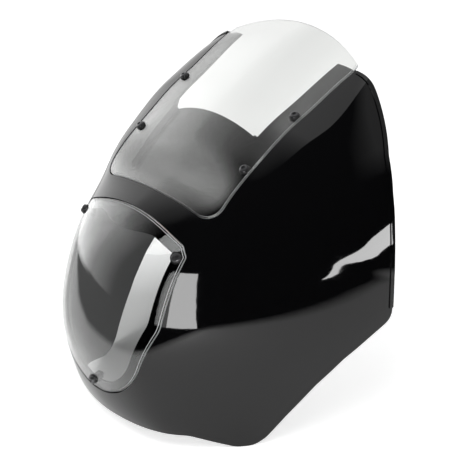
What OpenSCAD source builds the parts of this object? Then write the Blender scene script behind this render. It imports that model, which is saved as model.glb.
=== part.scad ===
// Quarter fairing for a motorcycle headlight: one moulded shell with a screwed windscreen and a screwed headlight lens.
// Millimetres, +Z up, front towards -Y. The origin lies on the centre plane, in the plane of the rear edge,
// at the height of the lens's centre: the line on which the headlamp bracket holds the fairing.

/* [Body] */
// overall width of the shell, mm
body_width = 416; // [380:2:450]
// wall of the moulded shell, mm
wall = 3.5; // [3:0.25:4.5]
// how far the seats of the windscreen and the lens lie below the outer skin, mm
seat_depth = 5; // [4.5:0.25:6]
// how softly the front turns into the sides, mm
ridge = 8.5; // [6:0.5:10]
// height of the bead that stiffens the rear edge, mm
bead_height = 1.5; // [0.5:0.25:2.5]
// width of that bead, mm
bead_width = 5; // [3:0.5:8]
// extra reach of the chin below the lens, mm
chin_reach = 0; // [-6:1:6]
// height of the side lobes' lower edge against the lens's centre, mm
lobe_bottom = -131; // [-136:1:-124]
// height of the chin's lower edge against the lens's centre, mm
chin_bottom = -109; // [-114:1:-107]

/* [Windscreen] */
// thickness of the windscreen, mm
screen_wall = 3; // [2:0.25:4]
// gap round the windscreen and the lens, mm
edge_gap = 1.5; // [1:0.25:2.5]
// radius of the windscreen's upper edge, mm
screen_top_radius = 225; // [215:5:300]
// height of the windscreen's upper edge over its upper screws, mm
screen_top = 126; // [118:1:130]
// radius of the windscreen's lower corners, mm
screen_corner = 22; // [14:1:28]

/* [Instrument bay] */
// half width of the recessed panel below the opening, mm
panel_half_width = 72; // [64:1:76]
// how far the opening above it stands out past each side of the panel at its foot, mm
bay_margin = 3; // [2:0.5:5]
// how much further apart the opening's sides are 100 mm higher, mm
bay_flare = 6.5; // [0:0.5:8]
// depth of the recessed panel on the centre plane, mm
panel_depth = 7; // [6:0.5:9]
// radius of the opening's lower edge, mm
bay_radius = 420; // [300:20:700]
// height of that edge against the upper screws, mm
bay_bottom = -35; // [-50:1:-20]

/* [Headlight lens] */
// thickness of the lens, mm
lens_wall = 3; // [2:0.25:4]
// radius of the lens's upper edge, mm
lens_top_radius = 225; // [200:5:300]
// height of the lens's upper edge over its centre, mm
lens_top = 108.5; // [104:0.5:111]
// width of the flange that carries the lens, mm
lens_flange = 13; // [10:0.5:16]

/* [Fasteners] */
// diameter of the screws' shanks, mm
screw_diameter = 6; // [5:0.5:6]
// length of the screws under their heads, mm
screw_length = 16; // [15:1:22]
// diameter of the washers, mm
washer_diameter = 12; // [11.5:0.5:14]

/* [Hidden] */
// fan axis: the line across the shell from which the front skin's radii are measured
fan_y = 30;
fan_z = 49;

// centre line of the front skin: its distance from the fan axis every 10 degrees, from behind upright round to the chin
first_angle = -30;
angle_step = 10;
front_radius = [348, 310, 272, 250.5, 232, 220.5, 218.5, 217, 223.5, 217, 261, 297, 309, 326, 328.5, 336, 330, 318, 305, 290];

// crown at the same places: how fast the skin falls back away from the centre plane, mm over 100 mm of width
front_crown = [20, 18, 16, 13, 11.5, 11, 9, 8, 8, -10, 23, 23, 23, 23, 22, 16, 14, 13, 12, 11];

// half width of the sides at the rear edge, every 60 mm of height from z = -311
side_width = [210, 208, 206, 204, 205, 209, 208, 206, 198, 169, 113, 76, 40];
width_places = [-311, 60];

// how the sides close in towards the front, every 120 mm of height from z = -341: share of the distance, then its square
side_sweep = [0.17, 0.16, 0.15, 0.15, 0.22, 0.29, 0.23, 0.15, 0.07];
side_bow = [13, 13, 12, 10.5, 13.5, 24, 31, 35, 39];
sweep_places = [-341, 120];

width_scale = body_width / 416;
bay_half_width = panel_half_width + bay_margin;

// windscreen and lens are cut out along their own directions: tilt from level, and the point they are measured from
screen_tilt = 34;
screen_origin = [0, -60, 239];
lens_tilt = 73;
lens_origin = [0, -133, 0];

// windscreen outline, right half: rounds given as [x, height, radius]
screen_low = -150.5;
screen_side_low = 102;
screen_side_high = 110;

// screws: [x, height] in the windscreen's and in the lens's own directions
screen_screws = [[99, 0], [95.7, -85]];
lens_screws_high = [88, 78];
lens_screw_low = [0, -102.4];

// rounds of the lens outline: [x, height, radius]
lens_rounds = [[0, -32, 80], [30, 5, 62], [89.5, 79, 5]];

head_diameter = screw_diameter * 1.75;
head_height = screw_diameter * 0.55;
socket_width = screw_diameter * 0.67;
socket_depth = screw_diameter * 0.3;
washer_wall = 1.2;
washer_sink = 0.1;
well_diameter = screw_diameter + 4;
well_length = 9;
well_flange = 15;
insert_diameter = screw_diameter + 2;
insert_length = 5;
hole_play = 0.3;
flange_rest = 3.6;

round_fn = 48;
reach_out = 700;

// smooth curve through a table, t counted in table steps
function curve(v, t) =
    let (u = min(max(t, 1), len(v) - 2.001), i = floor(u), w = u - i)
    (v[i - 1] * pow(1 - w, 3)
        + v[i] * (3 * w * w * w - 6 * w * w + 4)
        + v[i + 1] * (3 * w + 3 * w * w - 3 * w * w * w + 1)
        + v[i + 2] * w * w * w) / 6;

// half width of the side skin
function side_half(y, z) =
    let (s = (z - sweep_places[0]) / sweep_places[1])
    width_scale * (curve(side_width, (z - width_places[0]) / width_places[1]) + curve(side_sweep, s) * y
        - curve(side_bow, s) / 10000 * y * y);

// radius of the front skin
function front_half(x, angle) =
    let (a = (angle - first_angle) / angle_step, u = x / width_scale)
    curve(front_radius, a) + (angle > 105 ? chin_reach : 0) - curve(front_crown, a) / 10000 * u * u;

// signed height over the outer skin: front and side skins joined by a soft ridge
function over_skin(p) =
    let (
        dy = fan_y - p[1],
        dz = p[2] - fan_z,
        front = norm([dy, dz]) - front_half(p[0], atan2(dy, dz)),
        side = abs(p[0]) - side_half(p[1], p[2]))
    (front + side) / 2 + sqrt(pow((front - side) / 2, 2) + ridge * ridge);

// where a line from inside meets the skin
function meet(from, along, near, far, left = 20) =
    let (mid = (near + far) / 2)
    left == 0 ? from + mid * along
    : over_skin(from + mid * along) < 0 ? meet(from, along, mid, far, left - 1)
    : meet(from, along, near, mid, left - 1);

// outward direction of the skin at a point on it
function outward(p) =
    let (
        e = 0.05,
        g = [for (d = [[e, 0, 0], [0, e, 0], [0, 0, e]]) over_skin(p + d) - over_skin(p - d)])
    g / norm(g);

// rays of the skin's mesh: closer at the ridge and at the fold between windscreen and lens
mesh_side = [for (a = [0:5:15]) a, for (a = [17:2:31]) a, for (a = [35:6:83]) a, 86];
mesh_turn = [for (a = [-12:5:53]) a, for (a = [56:3:77]) a, for (a = [82:5:147]) a];
fan_point = [0, fan_y, fan_z];
half_mesh = [for (s = mesh_side) [for (t = mesh_turn)
    let (p = meet(fan_point, [sin(s), -cos(s) * sin(t), cos(s) * cos(t)], 60, 480))
    [p, outward(p)]]];

function mirrored(v) = [-v[0], v[1], v[2]];

// the skin as a closed solid, sunk by a depth that may grow towards the sides
module skin_body(depth, fall = 0) {
    rows = len(mesh_side);
    turns = len(mesh_turn);
    sunk = [for (row = half_mesh) [for (q = row) q[0] - (depth + fall * q[0][0] * q[0][0]) * q[1]]];
    points = concat(
        [for (r = [rows - 1:-1:1]) for (q = sunk[r]) mirrored(q)],
        [for (r = [0:rows - 1]) for (q = sunk[r]) q],
        [fan_point]);
    last = 2 * rows - 2;
    centre = len(points) - 1;
    function at(r, t) = r * turns + t;
    polyhedron(points, concat(
        [for (r = [0:last - 1]) for (t = [0:turns - 2]) [at(r, t), at(r + 1, t + 1), at(r, t + 1)]],
        [for (r = [0:last - 1]) for (t = [0:turns - 2]) [at(r, t), at(r + 1, t), at(r + 1, t + 1)]],
        [for (r = [0:last - 1]) [centre, at(r + 1, 0), at(r, 0)]],
        [for (r = [0:last - 1]) [centre, at(r, turns - 1), at(r + 1, turns - 1)]],
        [for (t = [0:turns - 2]) [centre, at(0, t), at(0, t + 1)]],
        [for (t = [0:turns - 2]) [centre, at(last, t + 1), at(last, t)]]), convexity = 8);
}

module both_sides() {
    children();
    mirror([1, 0, 0]) children();
}

// outline built as a fan of hulls from one middle point over rounds [x, height, radius]
module fan_outline(rounds, middle) {
    both_sides() for (i = [0:len(rounds) - 2]) hull() {
        translate([0, middle]) circle(1, $fn = 12);
        for (q = [rounds[i], rounds[i + 1]]) translate([q[0], q[1]]) circle(q[2], $fn = round_fn);
    }
}

module screen_outline(grow = 0) {
    top_round = 7;
    offset(delta = grow) intersection() {
        fan_outline([
            [0, screen_low + 6, 6],
            [52, screen_low + 4.5, 6],
            [screen_side_low - screen_corner, screen_low + screen_corner - 4, screen_corner],
            [screen_side_low + 2 - top_round, -50, top_round],
            [screen_side_high - top_round, 92, top_round],
            [0, screen_top, top_round]], -20);
        translate([0, screen_top - screen_top_radius]) circle(screen_top_radius, $fn = 180);
    }
}

module lens_outline(grow = 0) {
    offset(delta = grow) intersection() {
        fan_outline(concat([[0, -34, 78]], lens_rounds,
            [[84, 88, 5], [66, 95.5, 5], [45, 100, 5], [0, 104, 9]]), 0);
        translate([0, lens_top - lens_top_radius]) circle(lens_top_radius, $fn = 180);
    }
}

module screen_way() {
    translate(screen_origin) rotate([screen_tilt, 0, 0]) translate([0, 0, -70]) linear_extrude(300) children();
}

module lens_way() {
    translate(lens_origin) rotate([lens_tilt, 0, 0]) translate([0, 0, 50]) linear_extrude(300) children();
}

// recessed panel in front of the instruments, and the open bay above it
module panel_outline(grow = 0) {
    offset(delta = grow) hull() {
        both_sides() translate([panel_half_width - 12, -124]) circle(12, $fn = round_fn);
        both_sides() translate([panel_half_width - 2, -20]) circle(2, $fn = round_fn);
    }
}

module bay_outline() {
    bay_foot = -70;
    intersection() {
        polygon([
            [-bay_half_width, bay_foot], [bay_half_width, bay_foot],
            [bay_half_width + 4 * bay_flare, bay_foot + 400], [-bay_half_width - 4 * bay_flare, bay_foot + 400]]);
        difference() {
            translate([-200, bay_foot]) square([400, 400]);
            translate([0, bay_bottom - bay_radius]) circle(bay_radius, $fn = 180);
        }
    }
}

// what the side view keeps: rear edge, raised arch, lobe in front of it and chin
module side_outline() {
    offset(r = 12) offset(r = -24) offset(r = 12) polygon([
        [32, 280.5], [19, 239], [6, 199], [1, 159], [0, 119], [0, 7], [-27, -9], [-62, -32], [-94, -60],
        [-125, -95], [-146, lobe_bottom + 9], [-158, lobe_bottom], [-176, lobe_bottom], [-197, lobe_bottom + 9],
        [-222, chin_bottom - 2], [-247, chin_bottom], [-400, chin_bottom], [-400, 280.5]]);
}

module side_way() {
    rotate([90, 0, 90]) linear_extrude(reach_out, center = true) children();
}

// the shell's outside or inside: the skin with its seats sunk into it
module sunk_body(depth, grow) {
    difference() {
        skin_body(depth);
        difference() {
            screen_way() screen_outline(edge_gap + grow);
            skin_body(seat_depth + depth);
        }
        difference() {
            lens_way() lens_outline(edge_gap + grow);
            skin_body(seat_depth + depth);
        }
        difference() {
            screen_way() panel_outline(grow);
            skin_body(panel_depth + depth, 0.0013);
        }
    }
}

module lens_opening() {
    difference() {
        lens_outline(-lens_flange);
        translate([0, 252]) circle(167, $fn = 120);
    }
}

// bead along the rear edge, still untrimmed
module rear_bead() {
    intersection() {
        difference() {
            skin_body(-bead_height);
            skin_body(wall / 2);
            screen_way() screen_outline(edge_gap + wall);
        }
        side_way() difference() {
            translate([-60, 21]) square([200, 300]);
            translate([-bead_width, 0]) side_outline();
        }
    }
}

// stands a fastener on the skin
module on_skin(p) {
    n = outward(p);
    translate(p) rotate([0, acos(n[2]), atan2(n[1], n[0])]) children();
}

screen_up = [0, cos(screen_tilt), sin(screen_tilt)];
screen_out = [0, -sin(screen_tilt), cos(screen_tilt)];
lens_up = [0, cos(lens_tilt), sin(lens_tilt)];
lens_out = [0, -sin(lens_tilt), cos(lens_tilt)];

function screen_point(q) = meet(screen_origin + [q[0], 0, 0] + q[1] * screen_up, screen_out, -60, 60);
function lens_point(q) = meet(lens_origin + [q[0], 0, 0] + q[1] * lens_up, lens_out, -20, 160);

module at_screen_screws() {
    both_sides() for (q = screen_screws) on_skin(screen_point(q)) children();
}

module at_lens_screws() {
    both_sides() on_skin(lens_point(lens_screws_high)) children();
    on_skin(lens_point(lens_screw_low)) children();
}

module well_hole() {
    translate([0, 0, -30]) cylinder(d = well_diameter + hole_play, h = 60, $fn = round_fn);
}

module screw_hole() {
    translate([0, 0, -30]) cylinder(d = screw_diameter + 1, h = 60, $fn = round_fn);
}

module fairing_shell() {
    color("black") difference() {
        intersection() {
            union() {
                difference() {
                    sunk_body(0, 0);
                    sunk_body(wall, wall);
                }
                rear_bead();
            }
            side_way() side_outline();
        }
        screen_way() bay_outline();
        lens_way() lens_opening();
        at_screen_screws() well_hole();
        at_lens_screws() well_hole();
    }
}

module windscreen() {
    color("white", 0.4) difference() {
        intersection() {
            difference() {
                skin_body(0);
                skin_body(screen_wall);
            }
            screen_way() screen_outline();
        }
        at_screen_screws() screw_hole();
    }
}

module headlight_lens() {
    color("white", 0.4) difference() {
        intersection() {
            difference() {
                skin_body(0);
                skin_body(lens_wall);
            }
            lens_way() lens_outline();
        }
        at_lens_screws() screw_hole();
    }
}

// button-head screw with a hexagon socket
module screw() {
    top = washer_wall - washer_sink;
    difference() {
        union() {
            translate([0, 0, top - screw_length]) cylinder(d = screw_diameter, h = screw_length, $fn = round_fn);
            translate([0, 0, top]) cylinder(d1 = head_diameter, d2 = head_diameter * 0.62, h = head_height,
                $fn = round_fn);
        }
        translate([0, 0, top + head_height - socket_depth]) cylinder(d = socket_width / cos(30),
            h = socket_depth + 1, $fn = 6);
    }
}

module washer() {
    translate([0, 0, -washer_sink]) difference() {
        cylinder(d = washer_diameter, h = washer_wall, $fn = round_fn);
        translate([0, 0, -1]) cylinder(d = screw_diameter, h = washer_wall + 2, $fn = round_fn);
    }
}

// rubber well nut: a flange on the seat and a body through the shell
module well_nut() {
    rest = -flange_rest;
    difference() {
        union() {
            translate([0, 0, -seat_depth]) cylinder(d = well_flange, h = seat_depth + rest, $fn = round_fn);
            translate([0, 0, rest - well_length]) cylinder(d = well_diameter, h = well_length, $fn = round_fn);
        }
        translate([0, 0, -60]) cylinder(d = screw_diameter, h = 80, $fn = round_fn);
        insert_room();
    }
}

module insert_room() {
    translate([0, 0, -flange_rest - well_length - 1]) cylinder(d = insert_diameter, h = insert_length + 1,
        $fn = round_fn);
}

module nut_insert() {
    translate([0, 0, -flange_rest - well_length]) difference() {
        cylinder(d = insert_diameter, h = insert_length, $fn = round_fn);
        translate([0, 0, -1]) cylinder(d = screw_diameter, h = insert_length + 2, $fn = round_fn);
    }
}

module windscreen_screws() {
    color("dimgray") at_screen_screws() screw();
}

module windscreen_washers() {
    color("gray") at_screen_screws() washer();
}

module windscreen_well_nuts() {
    color("darkslategray") at_screen_screws() well_nut();
}

module windscreen_nut_inserts() {
    color("goldenrod") at_screen_screws() nut_insert();
}

module lens_screws() {
    color("dimgray") at_lens_screws() screw();
}

module lens_washers() {
    color("gray") at_lens_screws() washer();
}

module lens_well_nuts() {
    color("darkslategray") at_lens_screws() well_nut();
}

module lens_nut_inserts() {
    color("goldenrod") at_lens_screws() nut_insert();
}

fairing_shell();
windscreen();
headlight_lens();
windscreen_screws();
windscreen_washers();
windscreen_well_nuts();
windscreen_nut_inserts();
lens_screws();
lens_washers();
lens_well_nuts();
lens_nut_inserts();
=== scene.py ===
# %% [markdown]
# # A quarter fairing for a motorcycle headlight
#
# The real part is a deep gloss black moulded shell that hangs in front of the handlebars. A clear
# windscreen is screwed on over the instruments, and a clear lens closes the opening for the headlamp. This
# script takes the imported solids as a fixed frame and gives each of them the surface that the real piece
# has: a smooth gloss skin, clear sheet with sawn edges, black screws, nylon washers, rubber well nuts and
# brass inserts.

import bmesh
import bpy
import numpy as np
from mathutils import Matrix, Vector


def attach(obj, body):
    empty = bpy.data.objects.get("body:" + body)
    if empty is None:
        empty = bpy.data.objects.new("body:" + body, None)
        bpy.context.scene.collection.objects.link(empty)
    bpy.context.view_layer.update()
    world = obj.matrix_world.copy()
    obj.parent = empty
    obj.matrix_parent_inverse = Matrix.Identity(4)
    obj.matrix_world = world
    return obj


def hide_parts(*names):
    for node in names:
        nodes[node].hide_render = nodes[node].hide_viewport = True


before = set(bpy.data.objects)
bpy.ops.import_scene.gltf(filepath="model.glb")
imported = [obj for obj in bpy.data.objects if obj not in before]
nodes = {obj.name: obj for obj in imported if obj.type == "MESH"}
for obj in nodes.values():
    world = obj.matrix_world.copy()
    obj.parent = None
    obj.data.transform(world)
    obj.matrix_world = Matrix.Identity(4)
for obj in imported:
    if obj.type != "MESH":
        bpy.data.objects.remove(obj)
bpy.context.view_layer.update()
MM = 0.001
print("nodes", sorted(nodes))

# %% [markdown]
# ## The skin as a formula
#
# The shell, the windscreen and the lens share one free-form skin, as they do on the real part, where the
# clear pieces continue the bodywork. It could be sculpted or subdivided from a cage, but a formula is
# easier to offset, cut and shade: a front skin given by its radius from a line across the shell, two side
# skins given by their half width, and a soft ridge where they meet. The few stations below are the same
# driving values as the solids have.

# %% Stations of the skin
WALL = 3.5
SEAT_DEPTH = 5.0
RIDGE = 8.5
FAN_Y = 30.0
FAN_Z = 49.0
FIRST_ANGLE = -30.0
ANGLE_STEP = 10.0
FRONT_RADIUS = np.array([348, 310, 272, 250.5, 232, 220.5, 218.5, 217, 223.5, 217,
                         261, 297, 309, 326, 328.5, 336, 330, 318, 305, 290])
FRONT_CROWN = np.array([20, 18, 16, 13, 11.5, 11, 9, 8, 8, -10,
                        23, 23, 23, 23, 22, 16, 14, 13, 12, 11]) * 1e-4
SIDE_WIDTH = np.array([210, 208, 206, 204, 205, 209, 208, 206, 198, 169, 113, 76, 40])
WIDTH_BOTTOM = -311.0
WIDTH_STEP = 60.0
SIDE_SWEEP = np.array([0.17, 0.16, 0.15, 0.15, 0.22, 0.29, 0.23, 0.15, 0.07])
SIDE_BOW = np.array([13, 13, 12, 10.5, 13.5, 24, 31, 35, 39]) * 1e-4
SWEEP_BOTTOM = -341.0
SWEEP_STEP = 120.0


def curve(stations, t):
    """Uniform cubic B-spline: the weighted mean of the four stations around t, which counts stations."""
    u = np.clip(t, 1, len(stations) - 2.001)
    i = np.floor(u).astype(int)
    w = u - i
    parts = ((1 - w) ** 3, 3 * w**3 - 6 * w**2 + 4, 3 * w + 3 * w**2 - 3 * w**3 + 1, w**3)
    return sum(stations[i + k - 1] * part for k, part in enumerate(parts)) / 6


def over_skin(p):
    """Height over the skin: the mean of the front and side heights plus the root of (half their difference
    squared plus the ridge squared), which rounds the corner between the two."""
    x, y, z = p[..., 0], p[..., 1], p[..., 2]
    dy, dz = FAN_Y - y, z - FAN_Z
    a = (np.degrees(np.arctan2(dy, dz)) - FIRST_ANGLE) / ANGLE_STEP
    front = np.hypot(dy, dz) - curve(FRONT_RADIUS, a) + curve(FRONT_CROWN, a) * x**2
    s = (z - SWEEP_BOTTOM) / SWEEP_STEP
    side = np.abs(x) - curve(SIDE_WIDTH, (z - WIDTH_BOTTOM) / WIDTH_STEP) - curve(SIDE_SWEEP, s) * y
    side = side + curve(SIDE_BOW, s) * y**2
    return (front + side) / 2 + np.sqrt(((front - side) / 2) ** 2 + RIDGE**2)


def outward(p):
    """Outward direction: the height's slope along each axis, taken from two near points, made one long."""
    step = 0.05
    slopes = [over_skin(p + step * axis) - over_skin(p - step * axis) for axis in np.eye(3)]
    g = np.stack(slopes, axis=-1)
    return g / np.linalg.norm(g, axis=-1, keepdims=True)


HALVINGS = 40


def meet(start, along, near, far):
    """Where lines from inside cross the skin, found by halving the stretch between a point inside and a point
    outside."""
    along = np.asarray(along, float)
    near = np.full(along.shape[:-1], float(near))
    far = np.full(along.shape[:-1], float(far))
    for _ in range(HALVINGS):
        mid = (near + far) / 2
        inside = over_skin(start + mid[..., None] * along) < 0
        near = np.where(inside, mid, near)
        far = np.where(inside, far, mid)
    return start + ((near + far) / 2)[..., None] * along


# %% Sample the skin once, finely at the ridge
FRONT_ROWS = np.linspace(0, 14, 15)
RIDGE_ROWS = np.linspace(14.6, 33, 46)
SIDE_ROWS = np.linspace(34, 86, 40)
UPPER_TURNS = np.linspace(-12, 54, 56)
BROW_TURNS = np.linspace(55, 78, 40)
LOWER_TURNS = np.linspace(79.2, 149, 62)
NEAREST = 60
FARTHEST = 480

half_rows = np.radians(np.concatenate([FRONT_ROWS, RIDGE_ROWS, SIDE_ROWS]))
rows = np.concatenate([-half_rows[:0:-1], half_rows])
turns = np.radians(np.concatenate([UPPER_TURNS, BROW_TURNS, LOWER_TURNS]))
fan_point = np.array([0.0, FAN_Y, FAN_Z])
row_grid, turn_grid = np.meshgrid(rows, turns, indexing="ij")
directions = np.stack([np.sin(row_grid), -np.cos(row_grid) * np.sin(turn_grid),
                       np.cos(row_grid) * np.cos(turn_grid)], axis=-1)
skin_points = meet(fan_point, directions, NEAREST, FARTHEST)
skin_normals = outward(skin_points)
print("skin grid", skin_points.shape, "front reach", round(float(skin_points[..., 1].min()), 1), "mm")

# %% [markdown]
# ## Solids to cut with
#
# A moulded shell has the same wall everywhere, and the seats for the windscreen and the lens are pressed
# into it. So the skin is made at several depths, each a closed body, and the seats are cut with prisms that
# follow the outlines of the clear pieces. Blender's boolean modifier with its manifold solver keeps such
# meshes closed.


# %% Mesh helpers
def new_object(name, points, faces):
    """A mesh object from points in millimetres and lists of corner numbers."""
    mesh = bpy.data.meshes.new(name)
    mesh.from_pydata((np.asarray(points) * MM).tolist(), [], [tuple(f) for f in faces])
    mesh.validate()
    obj = bpy.data.objects.new(name, mesh)
    bpy.context.scene.collection.objects.link(obj)
    return obj


def grid_faces(count_a, count_b, wrap_b=False):
    """Corner numbers of a grid's squares, worked out as whole arrays."""
    a = np.arange(count_a - 1)[:, None]
    b = np.arange(count_b if wrap_b else count_b - 1)[None, :]
    b_next = (b + 1) % count_b
    corners = [a * count_b + b, (a + 1) * count_b + b, (a + 1) * count_b + b_next, a * count_b + b_next]
    return np.stack([np.broadcast_to(c, (count_a - 1, b.shape[1])) for c in corners], axis=-1).reshape(-1, 4)


def skin_body(depth, fall=0.0):
    """The skin moved in along its normals by depth plus fall times x squared, and closed back to the fan
    point."""
    sunk = skin_points - (depth + fall * skin_points[..., :1] ** 2) * skin_normals
    count_r, count_t = sunk.shape[:2]
    points = np.concatenate([sunk.reshape(-1, 3), fan_point[None]])
    number = np.arange(count_r * count_t).reshape(count_r, count_t)
    rim = np.concatenate([number[:, 0], number[-1, 1:], number[-2::-1, -1], number[0, -2::-1]])
    centre = len(points) - 1
    cap = np.stack([rim[:-1], rim[1:], np.full(len(rim) - 1, centre)], axis=-1)
    quads = grid_faces(count_r, count_t)[:, ::-1]
    return new_object("skin", points, quads.tolist() + cap.tolist())


def combine(kind, target, *cutters):
    """Joins, cuts or keeps the common part of closed meshes, and deletes the cutters."""
    for cutter in cutters:
        mod = target.modifiers.new("cut", "BOOLEAN")
        mod.operation = kind
        mod.solver = "MANIFOLD"
        mod.object = cutter
        mesh = bpy.data.meshes.new_from_object(target.evaluated_get(bpy.context.evaluated_depsgraph_get()))
        target.modifiers.clear()
        target.data = mesh
        bpy.data.objects.remove(cutter)
    return target


probe = skin_body(0)
print("skin body", len(probe.data.polygons), "faces")
bpy.data.objects.remove(probe)

# %% [markdown]
# ## Outlines
#
# The windscreen is a slightly tapered plate with a bowed top, and the lens is a shield with a rounded foot.
# Both are easiest to read as a belt laid round a few discs: each disc gives an arc, and straight runs join
# them.


# %% Outline helpers
ARC_STEP = 1.6
SMALL_ARC = 4.0
SAME_POINT = 0.02


def belt(discs, grow=0.0):
    """Points of a belt round discs (x, height, radius), given anticlockwise and mirrored about x = 0: the run
    from one disc to the next leaves where the outward normals match."""
    right = [tuple(d) for d in discs]
    left = [(-x, h, r) for x, h, r in reversed(right) if x > 0]
    ring = np.array(right + left, float)
    ring[:, 2] += grow
    ahead = np.roll(ring, -1, axis=0)
    step = ahead[:, :2] - ring[:, :2]
    length = np.hypot(step[:, 0], step[:, 1])
    narrowing = np.arccos(np.clip((ring[:, 2] - ahead[:, 2]) / length, -1, 1))
    leave = np.arctan2(step[:, 1], step[:, 0]) - narrowing
    come = np.roll(leave, 1)
    sweep = (leave - come + np.pi) % (2 * np.pi) - np.pi
    points = []
    for (x, h, r), start, turn in zip(ring, come, sweep):
        if turn > 0:
            angles = start + np.linspace(0, turn, max(2, int(turn * (SMALL_ARC + r) / ARC_STEP)))
            reach = r
        else:
            angles = np.array([start + turn / 2])
            reach = r / np.cos(turn / 2)
        points.append(np.stack([x + reach * np.cos(angles), h + reach * np.sin(angles)], axis=-1))
    points = np.concatenate(points)
    apart = np.hypot(*(points - np.roll(points, 1, axis=0)).T) > SAME_POINT
    return points[apart]


FILLET_REACH = 1.2
FILLET_EXTRA = 2.0
EDGE_SHARE = 0.48


def filleted(corners, radius):
    """A polygon with each corner swept by a quadratic curve between two points on its edges. The points lie
    back from the corner by the radius times the tangent of half the turn, times a share, plus a little."""
    p = np.asarray(corners, float)
    to_last = np.roll(p, 1, axis=0) - p
    to_next = np.roll(p, -1, axis=0) - p
    last_length = np.linalg.norm(to_last, axis=1, keepdims=True)
    next_length = np.linalg.norm(to_next, axis=1, keepdims=True)
    turn = np.arccos(np.clip(-(to_last * to_next).sum(1, keepdims=True) / (last_length * next_length), -1, 1))
    wanted = radius * np.tan(turn / 2) * FILLET_REACH + FILLET_EXTRA
    back = np.minimum(wanted, EDGE_SHARE * np.minimum(last_length, next_length))
    t = np.linspace(0, 1, 9)[None, :, None]
    start = (p + back * to_last / last_length)[:, None]
    end = (p + back * to_next / next_length)[:, None]
    return ((1 - t) ** 2 * start + 2 * t * (1 - t) * p[:, None] + t**2 * end).reshape(-1, 2)


def prism(outline, origin, tilt, near, far):
    """A plane outline pushed through space: x stays x, the height axis leans back by tilt degrees."""
    lean = np.radians(tilt)
    up = np.array([0, np.cos(lean), np.sin(lean)])
    out = np.array([0, -np.sin(lean), np.cos(lean)])
    flat = np.array(origin, float) + outline[:, :1] * np.array([1.0, 0, 0]) + outline[:, 1:] * up
    count = len(outline)
    sides = grid_faces(2, count, wrap_b=True)[:, ::-1].tolist()
    caps = [list(range(count - 1, -1, -1)), list(range(count, 2 * count))]
    return new_object("prism", np.concatenate([flat + near * out, flat + far * out]), sides + caps)


# %% Outlines of the clear pieces and of the openings
# the gap round each clear sheet in its seat
EDGE_GAP = 1.5
SCREEN_TILT = 34.0
SCREEN_ORIGIN = (0.0, -60.0, 239.0)
LENS_TILT = 73.0
LENS_ORIGIN = (0.0, -133.0, 0.0)
SCREEN_ROUND = 7.0
LENS_ROUND = 5.0
SCREEN_TOP = 126.0
SCREEN_TOP_RADIUS = 225.0
LENS_TOP = 108.5
LENS_TOP_RADIUS = 225.0


def discs_on_arc(top, radius, disc, xs):
    """Small discs that touch a large arc from inside, for a bowed edge."""
    inner = radius - disc
    return [(x, top - radius + np.sqrt(inner**2 - x**2), disc) for x in xs]


screen_discs = [(0, -150.5, 0), (28, -150.9, 0), (54, -152.2, 0), (80, -132.5, 22),
                (97, -50, SCREEN_ROUND), (102.6, 84, SCREEN_ROUND)]
screen_discs += discs_on_arc(SCREEN_TOP, SCREEN_TOP_RADIUS, SCREEN_ROUND,
                             [100.5, 90, 78, 65, 52, 39, 26, 13, 0])
lens_discs = [(0, -32, 80), (30, 5, 62), (89.5, 79, LENS_ROUND)]
lens_discs += discs_on_arc(LENS_TOP, LENS_TOP_RADIUS, LENS_ROUND, [84, 74, 62, 50, 38, 25, 12, 0])
panel_discs = [(0, -136, 0), (60, -124, 12), (70, -20, 2), (0, -18, 0)]
LOBE_BOTTOM = -131
CHIN_BOTTOM = -109
SIDE_FILLET = 14
side_corners = [(32, 280), (19, 239), (6, 199), (1, 159), (0, 119), (0, 7), (-27, -9), (-62, -32),
                (-94, -60), (-125, -95), (-146, -122), (-158, LOBE_BOTTOM), (-176, LOBE_BOTTOM),
                (-197, -122), (-222, -111), (-247, CHIN_BOTTOM), (-420, CHIN_BOTTOM), (-420, 280)]
side_points = filleted(side_corners, SIDE_FILLET)
print("outlines", len(belt(screen_discs)), len(belt(lens_discs)), len(side_points), "points")

# %% [markdown]
# ## Smooth reflections on cut meshes
#
# A boolean leaves thousands of small triangles, and a mirror-like lacquer would show every one. The real
# skin has no facets, so each face that lies on the skin gets the formula's own outward direction at its
# corners, and only the cut edges keep the direction of their faces.


# %% Shading from the formula
ON_SKIN = 0.96
ACROSS_SKIN = 0.8


def mesh_arrays(mesh):
    """Corner positions in millimetres, the face of each corner, and the faces' directions."""
    points = np.empty(len(mesh.vertices) * 3, np.float32)
    mesh.vertices.foreach_get("co", points)
    corner = np.empty(len(mesh.loops), np.int32)
    mesh.loops.foreach_get("vertex_index", corner)
    facing = np.empty(len(mesh.polygons) * 3, np.float32)
    mesh.polygons.foreach_get("normal", facing)
    sizes = np.empty(len(mesh.polygons), np.int32)
    mesh.polygons.foreach_get("loop_total", sizes)
    face = np.repeat(np.arange(len(sizes)), sizes)
    return points.reshape(-1, 3) / MM, corner, facing.reshape(-1, 3), face


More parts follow.
